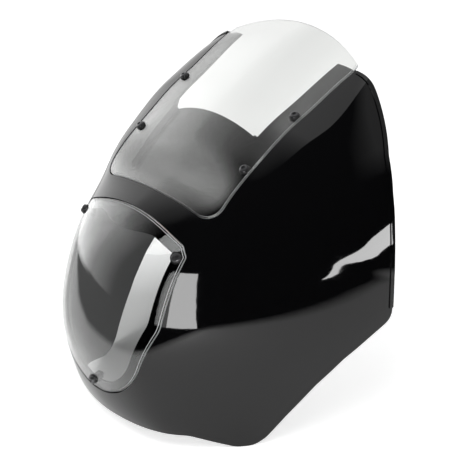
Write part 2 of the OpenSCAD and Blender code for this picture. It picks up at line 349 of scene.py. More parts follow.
def shade_from_skin(obj):
    """Corner normals: the skin's own direction, with its sign, where a face lies within 16 degrees of it
    (ON_SKIN is the cosine), and the face's direction elsewhere. Stores "inner" as 1 on faces that look into
    the shell and "edge" as 1 on cut edges, which stand across the skin."""
    mesh = obj.data
    points, corner, facing, face = mesh_arrays(mesh)
    skin_way = outward(points.astype(float))[corner]
    face_way = facing[face]
    match = (skin_way * face_way).sum(1, keepdims=True)
    normals = np.where(np.abs(match) > ON_SKIN, np.sign(match) * skin_way, face_way)
    mesh.polygons.foreach_set("use_smooth", np.ones(len(mesh.polygons), bool))
    mesh.normals_split_custom_set(normals.tolist())
    first = np.concatenate([[0], np.cumsum(np.bincount(face))[:-1]])
    inner = mesh.attributes.new("inner", "FLOAT", "FACE")
    inner.data.foreach_set("value", (match[first, 0] < 0).astype(np.float32))
    edge = mesh.attributes.new("edge", "FLOAT", "FACE")
    edge.data.foreach_set("value", (np.abs(match[first, 0]) < ACROSS_SKIN).astype(np.float32))
    return obj


# %% [markdown]
# ## The shell
#
# One moulding: outer and inner skins, seats for the windscreen and the lens, a recessed panel in front of
# the instruments, the open bay above it, the lamp opening and a stiffening bead down the rear edge. It is
# built as the real mould would shape it, outside first, then the same shape one wall further in taken away
# from it.

# %% Build the shell
PANEL_DEPTH = 7.0
# the panel lies deeper by this much times x squared, which flattens it across
PANEL_FALL = 0.0013
BAY_FOOT = -70.0
BAY_HALF_WIDTH = 75.0
BAY_FLARE = 6.5
BAY_HEIGHT = 400.0
BAY_BOTTOM = -35.0
BAY_RADIUS = 420.0
BAY_CORNER_DROP = 7.0
LENS_FLANGE = 13.0
LAMP_BOW_CENTRE = 252.0
LAMP_BOW_RADIUS = 167.0
BEAD_HEIGHT = 1.5
BEAD_WIDTH = 5.0
BEAD_FRONT = -60.0
BEAD_BACK = 140.0
BEAD_FOOT = 21.0
BEAD_TOP = 321.0
SCREEN_REACH = (-70, 230)
LENS_REACH = (50, 350)
HALF_SPAN = 350.0


def screen_prism(discs, grow=0.0):
    """A prism through the skin along the windscreen's direction, from a belt that may be grown."""
    return prism(belt(discs, grow), SCREEN_ORIGIN, SCREEN_TILT, *SCREEN_REACH)


def lens_prism(grow=0.0):
    """A prism through the skin along the lens's direction."""
    return prism(belt(lens_discs, grow), LENS_ORIGIN, LENS_TILT, *LENS_REACH)


def side_prism(points):
    """The side view's outline pushed straight across the part."""
    count = len(points)
    across = np.array([[-HALF_SPAN, 0, 0], [HALF_SPAN, 0, 0]])
    flat = np.column_stack([np.zeros(count), points])
    faces = grid_faces(2, count, wrap_b=True)[:, ::-1].tolist()
    faces += [list(range(count - 1, -1, -1)), list(range(count, 2 * count))]
    return new_object("side", (across[:, None] + flat[None]).reshape(-1, 3), faces)


def sunk_body(depth, grow):
    """The skin at a depth, with the seats and the recessed panel pressed into it."""
    body = skin_body(depth)
    seats = [(screen_prism(screen_discs, EDGE_GAP + grow), SEAT_DEPTH, 0.0),
             (lens_prism(EDGE_GAP + grow), SEAT_DEPTH, 0.0),
             (screen_prism(panel_discs, grow), PANEL_DEPTH, PANEL_FALL)]
    for way, sink, fall in seats:
        combine("DIFFERENCE", way, skin_body(sink + depth, fall))
        combine("DIFFERENCE", body, way)
    return body


def bay_points():
    """The open bay between the side flanges: sides that open a little upwards over a bowed lower edge."""
    corner = BAY_HALF_WIDTH + BAY_FLARE * (BAY_BOTTOM - BAY_CORNER_DROP - BAY_FOOT) / 100
    x = np.linspace(corner, -corner, 33)
    low = BAY_BOTTOM - BAY_RADIUS + np.sqrt(BAY_RADIUS**2 - x**2)
    wide = BAY_HALF_WIDTH + BAY_FLARE * BAY_HEIGHT / 100
    top = np.array([[-wide, BAY_FOOT + BAY_HEIGHT], [wide, BAY_FOOT + BAY_HEIGHT]])
    return np.concatenate([np.column_stack([x, low])[::-1], top[::-1]])


def lamp_points():
    """The lamp opening: the lens outline one flange further in, with its top edge hanging in a shallow
    bow."""
    edge = belt(lens_discs, -LENS_FLANGE)
    sag = LAMP_BOW_CENTRE - np.sqrt(LAMP_BOW_RADIUS**2 - edge[:, 0] ** 2)
    edge[:, 1] = np.minimum(edge[:, 1], sag)
    return edge


shell = combine("DIFFERENCE", sunk_body(0, 0), sunk_body(WALL, WALL))
bead = combine("DIFFERENCE", skin_body(-BEAD_HEIGHT), skin_body(WALL / 2))
combine("DIFFERENCE", bead, screen_prism(screen_discs, EDGE_GAP + WALL))
shifted = side_points - np.array([BEAD_WIDTH, 0])
strip = side_prism(np.array([[BEAD_FRONT, BEAD_FOOT], [BEAD_BACK, BEAD_FOOT],
                             [BEAD_BACK, BEAD_TOP], [BEAD_FRONT, BEAD_TOP]]))
combine("DIFFERENCE", strip, side_prism(shifted[::-1]))
combine("INTERSECT", bead, strip)
combine("UNION", shell, bead)
combine("INTERSECT", shell, side_prism(side_points[::-1]))
combine("DIFFERENCE", shell, prism(bay_points(), SCREEN_ORIGIN, SCREEN_TILT, *SCREEN_REACH))
combine("DIFFERENCE", shell, prism(lamp_points(), LENS_ORIGIN, LENS_TILT, *LENS_REACH))
shell.name = "shell_skin"
print("shell", len(shell.data.polygons), "faces")

# %% [markdown]
# ## Places of the fasteners
#
# Four screws hold the windscreen and three the lens. Each stands square on the skin, so its place is a
# point of the skin found along the clear piece's own direction, and its axis is the skin's outward
# direction there.

# %% Find the screws
SCREEN_SCREWS = ((99.0, 0.0), (-99.0, 0.0), (95.7, -85.0), (-95.7, -85.0))
LENS_SCREWS = ((88.0, 78.0), (-88.0, 78.0), (0.0, -102.4))
SCREEN_SEARCH = (-60, 60)
LENS_SEARCH = (-20, 160)


def skin_places(spots, origin, tilt, near, far):
    """Points of the skin over spots (x, height) of a plate's plane, with the skin's outward directions."""
    lean = np.radians(tilt)
    up = np.array([0, np.cos(lean), np.sin(lean)])
    out = np.array([0, -np.sin(lean), np.cos(lean)])
    spots = np.array(spots)
    start = np.array(origin) + spots[:, :1] * np.array([1.0, 0, 0]) + spots[:, 1:] * up
    places = meet(start, np.broadcast_to(out, start.shape), near, far)
    return list(zip(places, outward(places)))


screen_places = skin_places(SCREEN_SCREWS, SCREEN_ORIGIN, SCREEN_TILT, *SCREEN_SEARCH)
lens_places = skin_places(LENS_SCREWS, LENS_ORIGIN, LENS_TILT, *LENS_SEARCH)
print("upper right screw at", screen_places[0][0].round(1), "facing", screen_places[0][1].round(2))

# %% [markdown]
# ## Turning
#
# Pins to drill with, screws, washers and nuts are all turned parts, so one function carries a profile round
# an axis at every place. Blender's screw modifier could do it too, but whole arrays let the same function
# bend a ring out of round, which the socket and the thread need.


# %% Lathe
WELD_DISTANCE = 1e-7
LARGEST_HOLE = 100


def lathe(name, places, radius, height, columns=48):
    """A turned part at every place: radius(row, angle) and height(row) give rings round the place's axis."""
    angles = np.arange(columns) * 2 * np.pi / columns
    rings_r = radius(angles)
    rings_h = np.broadcast_to(height[:, None], rings_r.shape)
    points, faces = [], []
    for place, axis in places:
        side = np.cross(axis, [0, 1.0, 0])
        side /= np.linalg.norm(side)
        other = np.cross(axis, side)
        around = np.cos(angles)[:, None] * side + np.sin(angles)[:, None] * other
        ring = place + rings_r[..., None] * around + rings_h[..., None] * axis
        start = len(points) * ring.shape[0] * columns
        points.append(ring.reshape(-1, 3))
        faces.append(grid_faces(ring.shape[0], columns, wrap_b=True) + start)
    obj = new_object(name, np.concatenate(points), np.concatenate(faces).tolist())
    weld(obj)
    return obj


def weld(obj):
    """Merges doubles, fills the ends and turns all faces outwards."""
    work = bmesh.new()
    work.from_mesh(obj.data)
    bmesh.ops.remove_doubles(work, verts=work.verts, dist=WELD_DISTANCE)
    bmesh.ops.holes_fill(work, edges=work.edges, sides=LARGEST_HOLE)
    bmesh.ops.recalc_face_normals(work, faces=work.faces)
    work.to_mesh(obj.data)
    work.free()


print("lathe rings have", lathe.__defaults__[0], "columns")

# %% [markdown]
# ## Finish the shell and make the clear sheets
#
# The screw holes go through the shell and the sheets. Then the sheets are cut from the same skin, so that
# they continue its curve, as sheets formed over the body's own plug would.

# %% Drill the shell and shade it
WELL_HOLE = 5.15
SCREW_HOLE = 3.5
PIN_REACH = 30.0


def drill(obj, places, radius):
    """Round holes along the skin's direction at every place."""
    for place in places:
        pin = lathe("pin", [place], lambda a: np.full((2, len(a)), radius), np.array([-PIN_REACH, PIN_REACH]))
        combine("DIFFERENCE", obj, pin)


drill(shell, screen_places + lens_places, WELL_HOLE)
shade_from_skin(shell)
print("shell finished", len(shell.data.polygons), "faces")

# %% Cut the windscreen and the lens
SHEET = 3.0
RIM_WIDTH = 1.3
RIM_DEPTH = 0.7
RIM_OVER = 2.0


def clear_sheet(name, way, inner_way, places):
    """The part of the skin inside a prism, one sheet thick, with its rim eased and its screw holes."""
    sheet = combine("DIFFERENCE", skin_body(0), skin_body(SHEET))
    combine("INTERSECT", sheet, way)
    rim = combine("DIFFERENCE", skin_body(-RIM_OVER), skin_body(RIM_DEPTH), inner_way)
    combine("DIFFERENCE", sheet, rim)
    drill(sheet, places, SCREW_HOLE)
    sheet.name = name
    return shade_from_skin(sheet)


screen = clear_sheet("clear_windscreen", screen_prism(screen_discs), screen_prism(screen_discs, -RIM_WIDTH),
                     screen_places)
lens = clear_sheet("clear_lens", lens_prism(), lens_prism(-RIM_WIDTH), lens_places)
print("windscreen", len(screen.data.polygons), "lens", len(lens.data.polygons), "faces")

# %% [markdown]
# ## Screws, washers, well nuts and inserts
#
# The screws have a domed button head with a hexagon socket, and a rolled thread. A turned part is a profile
# carried round an axis, so all of them come from one lathe function; only the socket and the thread bend its
# rings out of round.

# %% Turn the fasteners
HEAD_LOW = 1.1
HEAD_RADIUS = 5.25
HEAD_HEIGHT = 3.3
HEAD_RIM = 0.5
HEAD_FLAT = 3.0
SOCKET_RADIUS = 2.01
SOCKET_FLOOR = 2.6
SHANK_RADIUS = 3.0
THREAD_DEPTH = 0.28
THREAD_PITCH = 1.0
THREAD_ROWS = 124
END_BEVEL = 0.6
AXIS = 0.01
SHANK_LENGTH = 16.0
WASHER_RADIUS = 6.0
WASHER_HOLE = 3.1
WASHER_SINK = 0.1
BORE = 3.02
WELL_TOP = -3.6
WELL_END = -12.6
WELL_RADIUS = 5.0
FLANGE_RADIUS = 7.5
FLANGE_LOW = -5.0
INSERT_LENGTH = 5.0
INSERT_RADIUS = 4.0
BRASS_PLAY = 0.02


def screw_rings():
    """Heights of the screw's rings, from the socket's floor over the dome and down the shank."""
    dome = np.linspace(0, np.pi / 2, 14)
    head_r = HEAD_FLAT + (HEAD_RADIUS - HEAD_FLAT) * np.sin(dome)
    head_h = HEAD_LOW + HEAD_RIM + (HEAD_HEIGHT - HEAD_RIM) * np.cos(dome)
    shank_h = np.linspace(HEAD_LOW, HEAD_LOW - SHANK_LENGTH + END_BEVEL, THREAD_ROWS)
    flat_r = np.concatenate([[AXIS, 1.9, SOCKET_RADIUS, SOCKET_RADIUS, 2.35], head_r, [HEAD_RADIUS, 3.2]])
    flat_h = np.concatenate([[SOCKET_FLOOR, SOCKET_FLOOR, SOCKET_FLOOR, HEAD_LOW + HEAD_HEIGHT - 0.1,
                              HEAD_LOW + HEAD_HEIGHT], head_h, [HEAD_LOW + 0.05, HEAD_LOW]])
    end_r = np.array([SHANK_RADIUS - END_BEVEL, AXIS])
    end_h = np.full(2, HEAD_LOW - SHANK_LENGTH)
    height = np.concatenate([flat_h, shank_h, end_h])

    def radius(angles):
        """Radius of each ring at each angle: the socket's rings follow a hexagon, the shank's a groove that
        climbs one pitch a turn."""
        hexagon = 1 / np.cos((angles + np.pi / 6) % (np.pi / 3) - np.pi / 6)
        flat = np.repeat(flat_r[:, None], len(angles), 1)
        flat[1:4] *= hexagon
        climb = shank_h[:, None] / THREAD_PITCH - angles[None] / (2 * np.pi)
        groove = np.abs((climb % 1) - 0.5) * 2
        fade = np.clip((HEAD_LOW - 4.0 - shank_h[:, None]) / 1.5, 0, 1)
        shank = SHANK_RADIUS - THREAD_DEPTH * fade * groove**1.5
        end = np.repeat(end_r[:, None], len(angles), 1)
        return np.concatenate([flat, shank, end])

    return radius, height


def ring_part(name, places, profile):
    """A ring turned from a closed profile of (radius, height) pairs."""
    loop = np.array(profile + profile[:1], float)
    return lathe(name, places, lambda a: np.repeat(loop[:, :1], len(a), 1), loop[:, 1])


def rounded_loop(corners, bevel):
    """A closed profile with each corner cut by a small two-step round."""
    p = np.array(corners, float)
    to_last = np.roll(p, 1, axis=0) - p
    to_next = np.roll(p, -1, axis=0) - p
    a = p + to_last * np.minimum(0.45, bevel / np.linalg.norm(to_last, axis=1, keepdims=True))
    b = p + to_next * np.minimum(0.45, bevel / np.linalg.norm(to_next, axis=1, keepdims=True))
    middle = 0.25 * a + 0.5 * p + 0.25 * b
    return [tuple(q) for q in np.stack([a, middle, b], axis=1).reshape(-1, 2)]


washer_loop = rounded_loop([(WASHER_HOLE, -WASHER_SINK), (WASHER_RADIUS, -WASHER_SINK),
                            (WASHER_RADIUS, HEAD_LOW), (WASHER_HOLE, HEAD_LOW)], 0.35)
insert_top = WELL_END + INSERT_LENGTH
well_loop = rounded_loop([(BORE, WELL_TOP), (FLANGE_RADIUS, WELL_TOP), (FLANGE_RADIUS, FLANGE_LOW),
                          (WELL_RADIUS, FLANGE_LOW), (WELL_RADIUS, WELL_END), (INSERT_RADIUS, WELL_END),
                          (INSERT_RADIUS, insert_top), (BORE, insert_top)], 0.3)
brass_radius = INSERT_RADIUS - BRASS_PLAY
brass_top = insert_top - BRASS_PLAY
insert_loop = rounded_loop([(BORE, WELL_END), (brass_radius, WELL_END), (brass_radius, brass_top),
                            (BORE, brass_top)], 0.25)

SHARP_DEGREES = 35
ring_radius, ring_height = screw_rings()
fasteners = {}
for group, places in (("windscreen", screen_places), ("lens", lens_places)):
    fasteners[group + "_screws"] = lathe(group + "_button_screws", places, ring_radius, ring_height)
    fasteners[group + "_washers"] = ring_part(group + "_nylon_washers", places, washer_loop)
    fasteners[group + "_well_nuts"] = ring_part(group + "_rubber_nuts", places, well_loop)
    fasteners[group + "_nut_inserts"] = ring_part(group + "_brass_inserts", places, insert_loop)
for obj in fasteners.values():
    obj.data.polygons.foreach_set("use_smooth", np.ones(len(obj.data.polygons), bool))
    obj.data.set_sharp_from_angle(angle=np.radians(SHARP_DEGREES))
print("fasteners", {k: len(o.data.polygons) for k, o in fasteners.items()})

# %% [markdown]
# ## What breaks the mirror
#
# The lacquer is almost black. What makes it look real is not its colour but what disturbs its reflections:
# a faint orange peel, hair scratches and a little dust. They could be painted as a picture, but a picture
# has a fixed sharpness. Here they are worked out from noise, in shared node groups that give only masks and
# heights, so each material keeps its own shader.


# %% Node helpers
def node_group(name, inputs, outputs):
    """An empty shader node group with float inputs {name: default} and float outputs."""
    group = bpy.data.node_groups.new(name, "ShaderNodeTree")
    for label, value in inputs.items():
        socket = group.interface.new_socket(label, in_out="INPUT", socket_type="NodeSocketFloat")
        socket.default_value = value
    for label in outputs:
        group.interface.new_socket(label, in_out="OUTPUT", socket_type="NodeSocketFloat")
    return group, group.nodes.new("NodeGroupInput"), group.nodes.new("NodeGroupOutput")


def math_node(tree, kind, a, b=0.0, clamp=False):
    """One arithmetic node; a and b are sockets or numbers."""
    node = tree.nodes.new("ShaderNodeMath")
    node.operation = kind
    node.use_clamp = clamp
    for socket, value in zip(node.inputs, (a, b)):
        if isinstance(value, (int, float)):
            socket.default_value = value
        else:
            tree.links.new(value, socket)
    return node.outputs[0]


def rise(tree, value, start, slope):
    """0 up to the start, then the slope times the way past it, up to 1."""
    return math_node(tree, "MULTIPLY", math_node(tree, "SUBTRACT", value, start), slope, clamp=True)


def fall(tree, value, end, slope):
    """The slope times the way left to the end, at most 1, and 0 from the end on."""
    return math_node(tree, "MULTIPLY", math_node(tree, "SUBTRACT", end, value), slope, clamp=True)


def noise(tree, vector, scale, detail=2.0, stretch=None):
    """Noise on a vector, stretched by a mapping if asked."""
    if stretch:
        mapping = tree.nodes.new("ShaderNodeMapping")
        mapping.inputs["Scale"].default_value = stretch
        mapping.inputs["Rotation"].default_value = (0.4, 0.3, 0.7)
        tree.links.new(vector, mapping.inputs["Vector"])
        vector = mapping.outputs[0]
    node = tree.nodes.new("ShaderNodeTexNoise")
    node.inputs["Scale"].default_value = scale
    node.inputs["Detail"].default_value = detail
    tree.links.new(vector, node.inputs["Vector"])
    return node.outputs["Fac"]


def object_coordinates(tree):
    """The place on the object, in metres."""
    return tree.nodes.new("ShaderNodeTexCoord").outputs["Object"]


# %% Handling marks
SCRATCH_THINNESS = 60.0
SCRATCH_SHARE = 0.6
DUST_SHARE = 0.5

wear, wear_in, wear_out = node_group("handling marks", {"Amount": 1.0}, ["Mask", "Height"])
where = object_coordinates(wear)
# a scratch runs where stretched noise passes its middle value
off_middle = math_node(wear, "SUBTRACT", noise(wear, where, 90, 1.0, stretch=(1.0, 14.0, 1.0)), 0.5)
width = math_node(wear, "MULTIPLY", math_node(wear, "ABSOLUTE", off_middle), SCRATCH_THINNESS)
scratch = math_node(wear, "SUBTRACT", 1.0, width, clamp=True)
patchy = rise(wear, noise(wear, where, 9, 3.0), 0.5, 4.0)
scratch = math_node(wear, "MULTIPLY", math_node(wear, "MULTIPLY", scratch, patchy), SCRATCH_SHARE)
dust = math_node(wear, "MULTIPLY", rise(wear, noise(wear, where, 700, 0.0), 0.72, 9.0), DUST_SHARE)
marks = math_node(wear, "ADD", scratch, dust, clamp=True)
marks = math_node(wear, "MULTIPLY", marks, wear_in.outputs["Amount"])
wear.links.new(marks, wear_out.inputs["Mask"])
peel = math_node(wear, "MULTIPLY", noise(wear, where, 140, 0.0), wear_in.outputs["Amount"])
wear.links.new(peel, wear_out.inputs["Height"])
print("handling marks", len(wear.nodes), "nodes")

# %% Fine grain
grain, grain_in, grain_out = node_group("fine grain", {"Scale": 900.0}, ["Grain"])
grain_noise = grain.nodes.new("ShaderNodeTexNoise")
grain_noise.inputs["Detail"].default_value = 3.0
grain.links.new(object_coordinates(grain), grain_noise.inputs["Vector"])
grain.links.new(grain_in.outputs["Scale"], grain_noise.inputs["Scale"])
grain.links.new(grain_noise.outputs["Fac"], grain_out.inputs["Grain"])
print("node groups", [g.name for g in bpy.data.node_groups])


# %% Material helpers
def new_material(name, color, **values):
    """A material with one Principled shader, set on its own sockets."""
    material = bpy.data.materials.new(name)
    material.use_nodes = True
    tree = material.node_tree
    shader = tree.nodes["Principled BSDF"]
    shader.inputs["Base Color"].default_value = (*color, 1)
    for label, value in values.items():
        shader.inputs[label.replace("_", " ")].default_value = value
    return material, tree, shader


def place_group(tree, group, **values):
    """One use of a shared group, with its inputs set."""
    node = tree.nodes.new("ShaderNodeGroup")
    node.node_tree = group
    for label, value in values.items():
        node.inputs[label].default_value = value
    return node


def spread(tree, mask, low, high):
    """A value that runs from low to high with a mask."""
    node = tree.nodes.new("ShaderNodeMapRange")
    node.inputs["To Min"].default_value = low
    node.inputs["To Max"].default_value = high
    tree.links.new(mask, node.inputs["Value"])
    return node.outputs[0]


def two_colors(tree, mask, first, second):
    """A colour that runs from the first to the second with a mask."""
    node = tree.nodes.new("ShaderNodeMix")
    node.data_type = "RGBA"
    node.inputs["A"].default_value = (*first, 1)
    node.inputs["B"].default_value = (*second, 1)
    tree.links.new(mask, node.inputs["Factor"])
    return node.outputs["Result"]


def face_mark(tree, name):
    """A mark of 0 or 1 that the mesh keeps on each face."""
    node = tree.nodes.new("ShaderNodeAttribute")
    node.attribute_name = name
    return node.outputs["Fac"]


def two_shaders(tree, mask, first, second):
    """The first shader where the mask is 0 and the second where it is 1, led to the surface."""
    node = tree.nodes.new("ShaderNodeMixShader")
    tree.links.new(mask, node.inputs["Fac"])
    tree.links.new(first.outputs[0], node.inputs[1])
    tree.links.new(second.outputs[0], node.inputs[2])
    tree.links.new(node.outputs[0], tree.nodes["Material Output"].inputs["Surface"])


def bump(tree, shader, height, strength, distance):
    """Small heights in metres that only tilt the light."""
    node = tree.nodes.new("ShaderNodeBump")
    node.inputs["Strength"].default_value = strength
    node.inputs["Distance"].default_value = distance
    tree.links.new(height, node.inputs["Height"])
    tree.links.new(node.outputs[0], shader.inputs["Normal"])


# %% [markdown]
# ## The shell's finish
#
# The outside is polished gloss black, and the inside is raw plastic from the mould: matt and a little paler.
# Two materials on one mesh would do, but one material that reads the faces' own "inner" mark keeps the shell
# a single piece with a single finish.

# %% Gloss black with a raw inside
GLOSS_COLOR = (0.0025, 0.0025, 0.0028)
RAW_COLOR = (0.035, 0.035, 0.036)

lacquer, tree, shader = new_material("gloss_black", GLOSS_COLOR, Roughness=0.08, Coat_Weight=0.0,
                                     Specular_IOR_Level=0.5)
marks_node = place_group(tree, wear, Amount=1.0)
outer_rough = spread(tree, marks_node.outputs["Mask"], 0.03, 0.13)
inner_rough = spread(tree, place_group(tree, grain, Scale=500.0).outputs["Grain"], 0.28, 0.5)
inner = face_mark(tree, "inner")
tree.links.new(two_colors(tree, inner, GLOSS_COLOR, RAW_COLOR), shader.inputs["Base Color"])
pick = tree.nodes.new("ShaderNodeMix")
tree.links.new(inner, pick.inputs["Factor"])
tree.links.new(outer_rough, pick.inputs["A"])
tree.links.new(inner_rough, pick.inputs["B"])
tree.links.new(pick.outputs["Result"], shader.inputs["Roughness"])
bump(tree, shader, marks_node.outputs["Height"], 0.03, 0.0003)
print("gloss black", len(tree.nodes), "nodes")

# %% [markdown]
# ## Clear sheet
#
# The windscreen and the lens are clear sheet with polished faces. Light passes them and picks up a slight
# tint, and the cut edge scatters what it catches, so it reads as a bright line. A thin plane with a fixed
# transparency would be simpler, but a solid sheet bends the light at its rim as the real one does.


# %% Clear sheet with sawn edges
def clear_plastic(name, color, ior, coat):
    """A clear sheet with faint marks in its polish, and sawn edges that scatter the light they catch."""
    material, tree, shader = new_material(name, color, IOR=ior, Transmission_Weight=1.0,
                                          Specular_IOR_Level=1.0, Coat_Weight=coat, Coat_Roughness=0.02)
    sheet_marks = place_group(tree, wear, Amount=0.7)
    tree.links.new(spread(tree, sheet_marks.outputs["Mask"], 0.0, 0.05), shader.inputs["Roughness"])
    frost = tree.nodes.new("ShaderNodeBsdfPrincipled")
    frost.inputs["Base Color"].default_value = (0.9, 0.92, 0.92, 1)
    sawn = place_group(tree, grain, Scale=2200.0).outputs["Grain"]
    tree.links.new(spread(tree, sawn, 0.25, 0.5), frost.inputs["Roughness"])
    two_shaders(tree, face_mark(tree, "edge"), shader, frost)
    return material


screen_clear = clear_plastic("clear_screen", (0.80, 0.81, 0.795), 1.49, 1.0)
lens_clear = clear_plastic("clear_lens", (0.84, 0.85, 0.845), 1.5, 0.2)
print("clear sheets", screen_clear.name, lens_clear.name)

# %% [markdown]
# ## Screws, washers, rubber and brass
#
# Blackened steel, nylon, rubber and turned brass differ in colour and polish, and all of them have a grain
# that is too fine to see one by one. One function gives each of them a colour and a roughness that follow
# the same grain, with a bump so small that it only softens the highlights.


# %% Grainy finishes
def grainy(name, color, lighter, rough_low, rough_high, scale, height, **values):
    """A finish whose colour, roughness and bump follow one fine grain."""
    material, tree, shader = new_material(name, color, **values)
    fine = place_group(tree, grain, Scale=scale).outputs["Grain"]
    tree.links.new(spread(tree, fine, rough_low, rough_high), shader.inputs["Roughness"])
    tree.links.new(two_colors(tree, fine, color, lighter), shader.inputs["Base Color"])
    bump(tree, shader, fine, 0.3, height)
    return material


screw_black = grainy("screw_black", (0.07, 0.07, 0.072), (0.16, 0.16, 0.165), 0.22, 0.42, 1500, 0.0001,
                     Metallic=0.8)
nylon = grainy("washer_nylon", (0.02, 0.02, 0.02), (0.05, 0.05, 0.05), 0.4, 0.6, 1800, 0.0001)
rubber = grainy("rubber", (0.012, 0.012, 0.012), (0.04, 0.04, 0.039), 0.65, 0.9, 1200, 0.0002)
brass = grainy("brass", (0.62, 0.42, 0.16), (0.78, 0.58, 0.28), 0.22, 0.4, 1400, 0.0001, Metallic=1.0)
print("materials", len(bpy.data.materials))

# %% [markdown]
# ## Put each piece in place of its solid
#
# Every piece rides on the part's only body, hides the solid that it stands for and wears a material that has
# the name of one of the record's finishes.

# %% Dress the frame
finish_of_kind = {"screws": ("screw_black", screw_black), "washers": ("washer_nylon", nylon),
                  "well_nuts": ("rubber", rubber), "nut_inserts": ("brass", brass)}
dress = [(shell, "fairing_shell", "gloss_black", lacquer),
         (screen, "windscreen", "clear_screen", screen_clear),
         (lens, "headlight_lens", "clear_lens", lens_clear)]
for group in ("windscreen", "lens"):
    for kind, (slot_name, material) in finish_of_kind.items():
        node = group + "_" + kind
        dress.append((fasteners[node], node, slot_name, material))
for obj, node, slot_name, material in dress:
    obj.data.materials.clear()
    obj.data.materials.append(material)
    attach(obj, "root")
    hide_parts(node)
print("pieces", len(dress))

# %% [markdown]
# ## Floor
#
# A product on white paper: to the camera the floor is white with a soft shadow. Gloss black shows only what
# it reflects, so in reflections the paper is white near the part and ends in the dark on two sides. Through
# the clear sheets the paper glows white away from the part, and under it the glow fades out: a painted shade
# for the part's shadow. One plane with a shader that asks what kind of ray looks at it gives all three.

# %% Floor
FLOOR_Z = -0.131
FLOOR_REACH = 4.0
PAPER_END_X = 0.68
PAPER_END_Y = -0.60
PAPER_SKEW = -0.1
PAPER_SHARPNESS = 12.0
# painted shade: within this radius of the part the glow seen through the clear sheets fades out, standing in
# for the part's shadow
PAINTED_SHADE_RADIUS = 0.25
GLOW_TO_CAMERA = 0.6
GLOW_REFLECTED = 0.42
GLOW_THROUGH_SHEET = 0.55

floor_corners = [(x, y, FLOOR_Z) for x, y in ((-1, -1), (1, -1), (1, 1), (-1, 1))]
floor_corners = [(x * FLOOR_REACH, y * FLOOR_REACH, z) for x, y, z in floor_corners]
floor_mesh = bpy.data.meshes.new("floor")
floor_mesh.from_pydata(floor_corners, [], [(0, 1, 2, 3)])
floor = bpy.data.objects.new("floor", floor_mesh)
bpy.context.scene.collection.objects.link(floor)
floor_material, tree, shader = new_material("white_sheet", (0.8, 0.8, 0.8), Roughness=0.9,
                                            Specular_IOR_Level=0.0)
path = tree.nodes.new("ShaderNodeLightPath")
split = tree.nodes.new("ShaderNodeSeparateXYZ")
tree.links.new(object_coordinates(tree), split.inputs[0])
mirrored = math_node(tree, "MINIMUM", path.outputs["Glossy Depth"], 1.0)
# the paper's near ends, seen only in reflections
inside_x = fall(tree, split.outputs["X"], PAPER_END_X, PAPER_SHARPNESS)
skewed = math_node(tree, "ADD", split.outputs["Y"],
                   math_node(tree, "MULTIPLY", split.outputs["X"], PAPER_SKEW))
inside_y = rise(tree, skewed, PAPER_END_Y, PAPER_SHARPNESS)
on_paper = math_node(tree, "MULTIPLY", inside_x, inside_y)
# how much the paper glows for each kind of ray
away = tree.nodes.new("ShaderNodeVectorMath")
away.operation = "DISTANCE"
away.inputs[1].default_value = (0.0, -0.1, FLOOR_Z)
tree.links.new(object_coordinates(tree), away.inputs[0])
# painted shade under the part: seen through the sheets, the floor's glow fades out near the part
outside_painted_shade = rise(tree, away.outputs["Value"], PAINTED_SHADE_RADIUS, 5.0)
through = math_node(tree, "MULTIPLY", path.outputs["Is Transmission Ray"],
                    math_node(tree, "SUBTRACT", 1.0, mirrored))
through = math_node(tree, "MULTIPLY", math_node(tree, "MULTIPLY", through, outside_painted_shade),
                    GLOW_THROUGH_SHEET)
glow = math_node(tree, "MULTIPLY", path.outputs["Is Camera Ray"], GLOW_TO_CAMERA)
glow = math_node(tree, "MAXIMUM", glow, math_node(tree, "MULTIPLY", mirrored, GLOW_REFLECTED))
glow = math_node(tree, "MAXIMUM", glow, through)
shader.inputs["Emission Color"].default_value = (1, 1, 1, 1)
tree.links.new(glow, shader.inputs["Emission Strength"])
off_paper = math_node(tree, "MULTIPLY", math_node(tree, "SUBTRACT", 1.0, on_paper), mirrored)
dark = tree.nodes.new("ShaderNodeEmission")
dark.inputs["Color"].default_value = (0.003, 0.003, 0.003, 1)
two_shaders(tree, off_paper, shader, dark)
floor_mesh.materials.append(floor_material)
print("floor at", FLOOR_Z, "m")

# %% [markdown]
# ## The room around the part
#
# The camera sees plain white. Reflections need more: a white wall on the left, which lights the brow and the
# rim of the lens, a grey wall at the back right, and darkness elsewhere, so that the sides stay black. A
# photograph of a room could give this, but a few ramps over the direction give it with nothing to load.

# %% Surroundings
WHITE_WALL_WAY = (-0.97, 0.25)
GREY_WALL = 0.35
DARK_ROOM = 0.003
SOFT_LIGHT = 0.55

world = bpy.data.worlds.new("studio")
bpy.context.scene.world = world
world.use_nodes = True
tree = world.node_tree
background = tree.nodes["Background"]
path = tree.nodes.new("ShaderNodeLightPath")
split = tree.nodes.new("ShaderNodeSeparateXYZ")
tree.links.new(tree.nodes.new("ShaderNodeTexCoord").outputs["Generated"], split.inputs[0])
leftward = math_node(tree, "ADD", math_node(tree, "MULTIPLY", split.outputs["X"], WHITE_WALL_WAY[0]),
                     math_node(tree, "MULTIPLY", split.outputs["Y"], WHITE_WALL_WAY[1]))
white_wall = math_node(tree, "MULTIPLY", rise(tree, leftward, 0.2, 3.0),
                       fall(tree, split.outputs["Z"], 0.88, 4.2))
back_right = math_node(tree, "MULTIPLY", rise(tree, split.outputs["Y"], 0.05, 5.0),
                       rise(tree, split.outputs["X"], 0.0, 5.0))
grey_wall = math_node(tree, "MULTIPLY", back_right, rise(tree, split.outputs["Z"], 0.25, 4.0))
room = math_node(tree, "MAXIMUM", white_wall, math_node(tree, "MULTIPLY", grey_wall, GREY_WALL))
room = math_node(tree, "MAXIMUM", room, DARK_ROOM)
mirrored = math_node(tree, "MINIMUM", path.outputs["Glossy Depth"], 1.0)
plain = math_node(tree, "SUBTRACT", 1.0, mirrored)
straight = math_node(tree, "MAXIMUM", path.outputs["Is Camera Ray"], path.outputs["Is Transmission Ray"])
straight = math_node(tree, "MULTIPLY", straight, plain)
